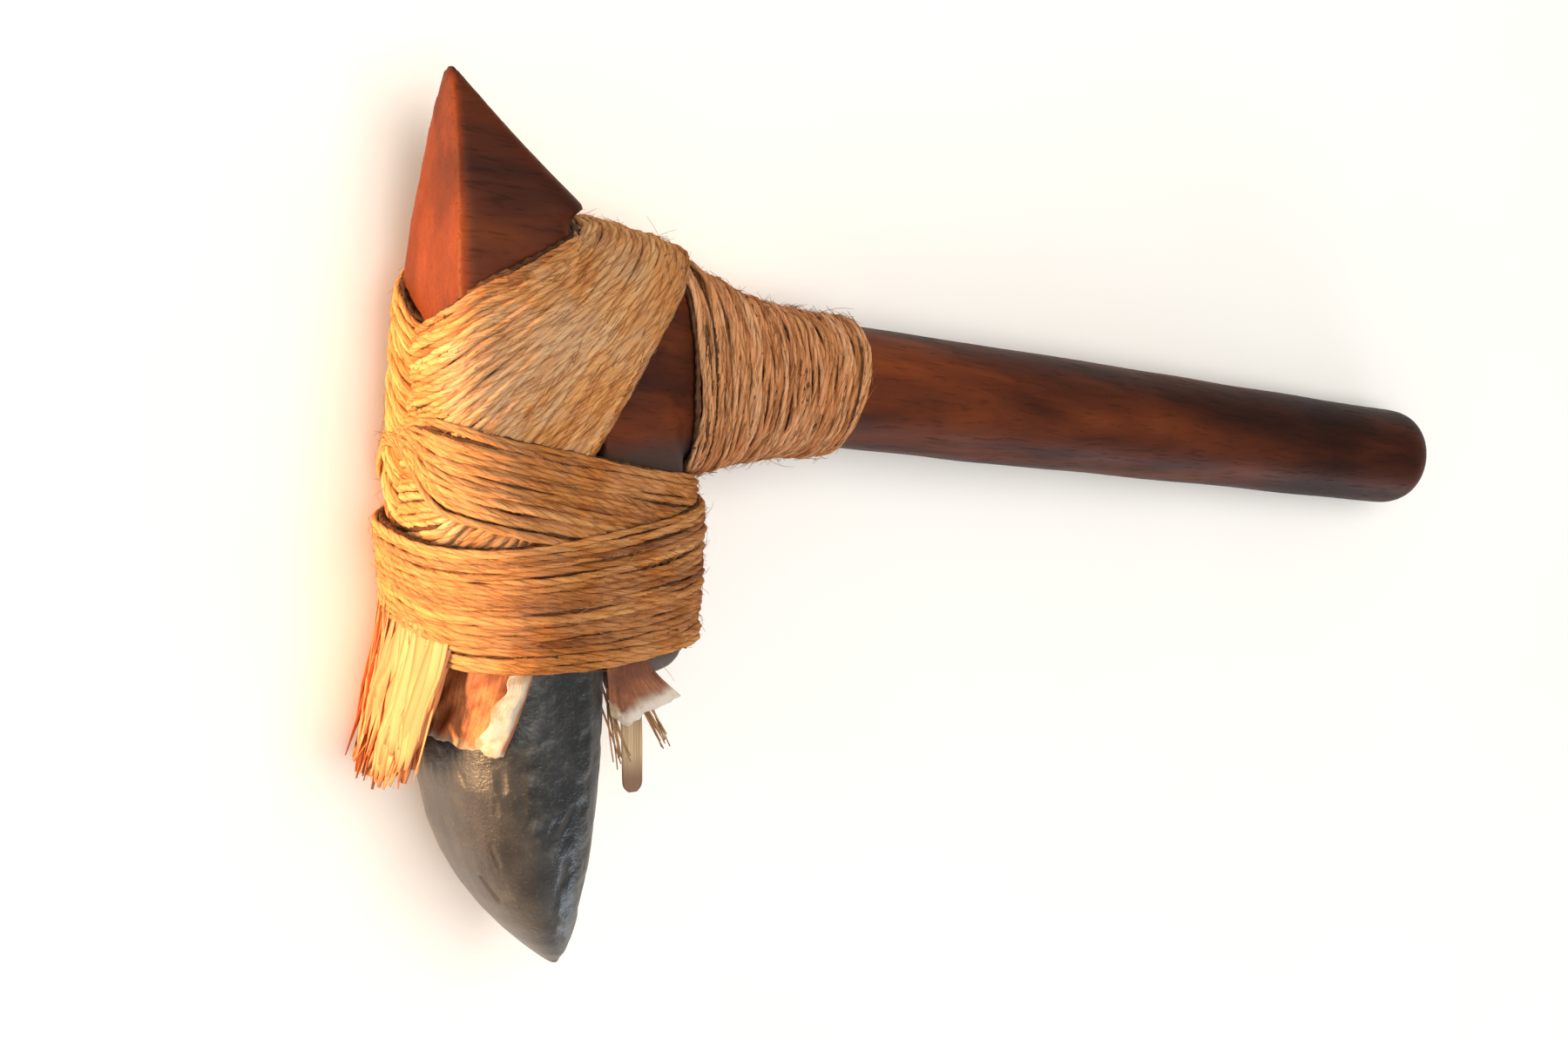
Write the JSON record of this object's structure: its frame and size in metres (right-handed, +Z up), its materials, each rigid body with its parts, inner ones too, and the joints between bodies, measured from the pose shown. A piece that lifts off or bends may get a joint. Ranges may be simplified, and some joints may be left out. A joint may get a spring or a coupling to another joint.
{
  "type": "hafted stone adze",
  "caption": "Stone adze lying on its side: thick ground basalt blade lashed with plant-fibre cord over leaf padding to a one-piece wooden haft with a pointed heel and a round handle",
  "frame": {"origin": "centre of the underside of the bounding box, on the surface the adze lies on", "axes": "+X runs from the front of the head back along the handle, +Y points to the heel and -Y to the cutting edge, +Z is up, square to the surface it lies on; the adze's own middle plane is tipped four degrees so that the foot lashing and the butt both touch"},
  "size_m": [0.3806, 0.2674, 0.0776],
  "materials": {
    "haft_wood": "dark reddish-brown hardwood, hand polished, fine darker grain along the handle",
    "basalt": "dark grey basalt, smooth ground on the bevel, rough and pitted towards the back and the butt",
    "cord": "golden-brown loosely twisted plant-fibre cord, hairy",
    "dry_leaf": "dry reddish-brown leaf with pale torn edges",
    "raw_fibre": "combed golden raw bast fibre",
    "bast": "pale flat bast strip, browned at its end"
  },
  "bodies": {
    "root": {"haft": "haft_wood", "stone_blade": "basalt", "lashing": "cord", "leaf_pad_front": "dry_leaf", "leaf_pad_back": "dry_leaf", "fibre_tuft": "raw_fibre", "bast_strip": "bast"}
  },
  "joints": []
}
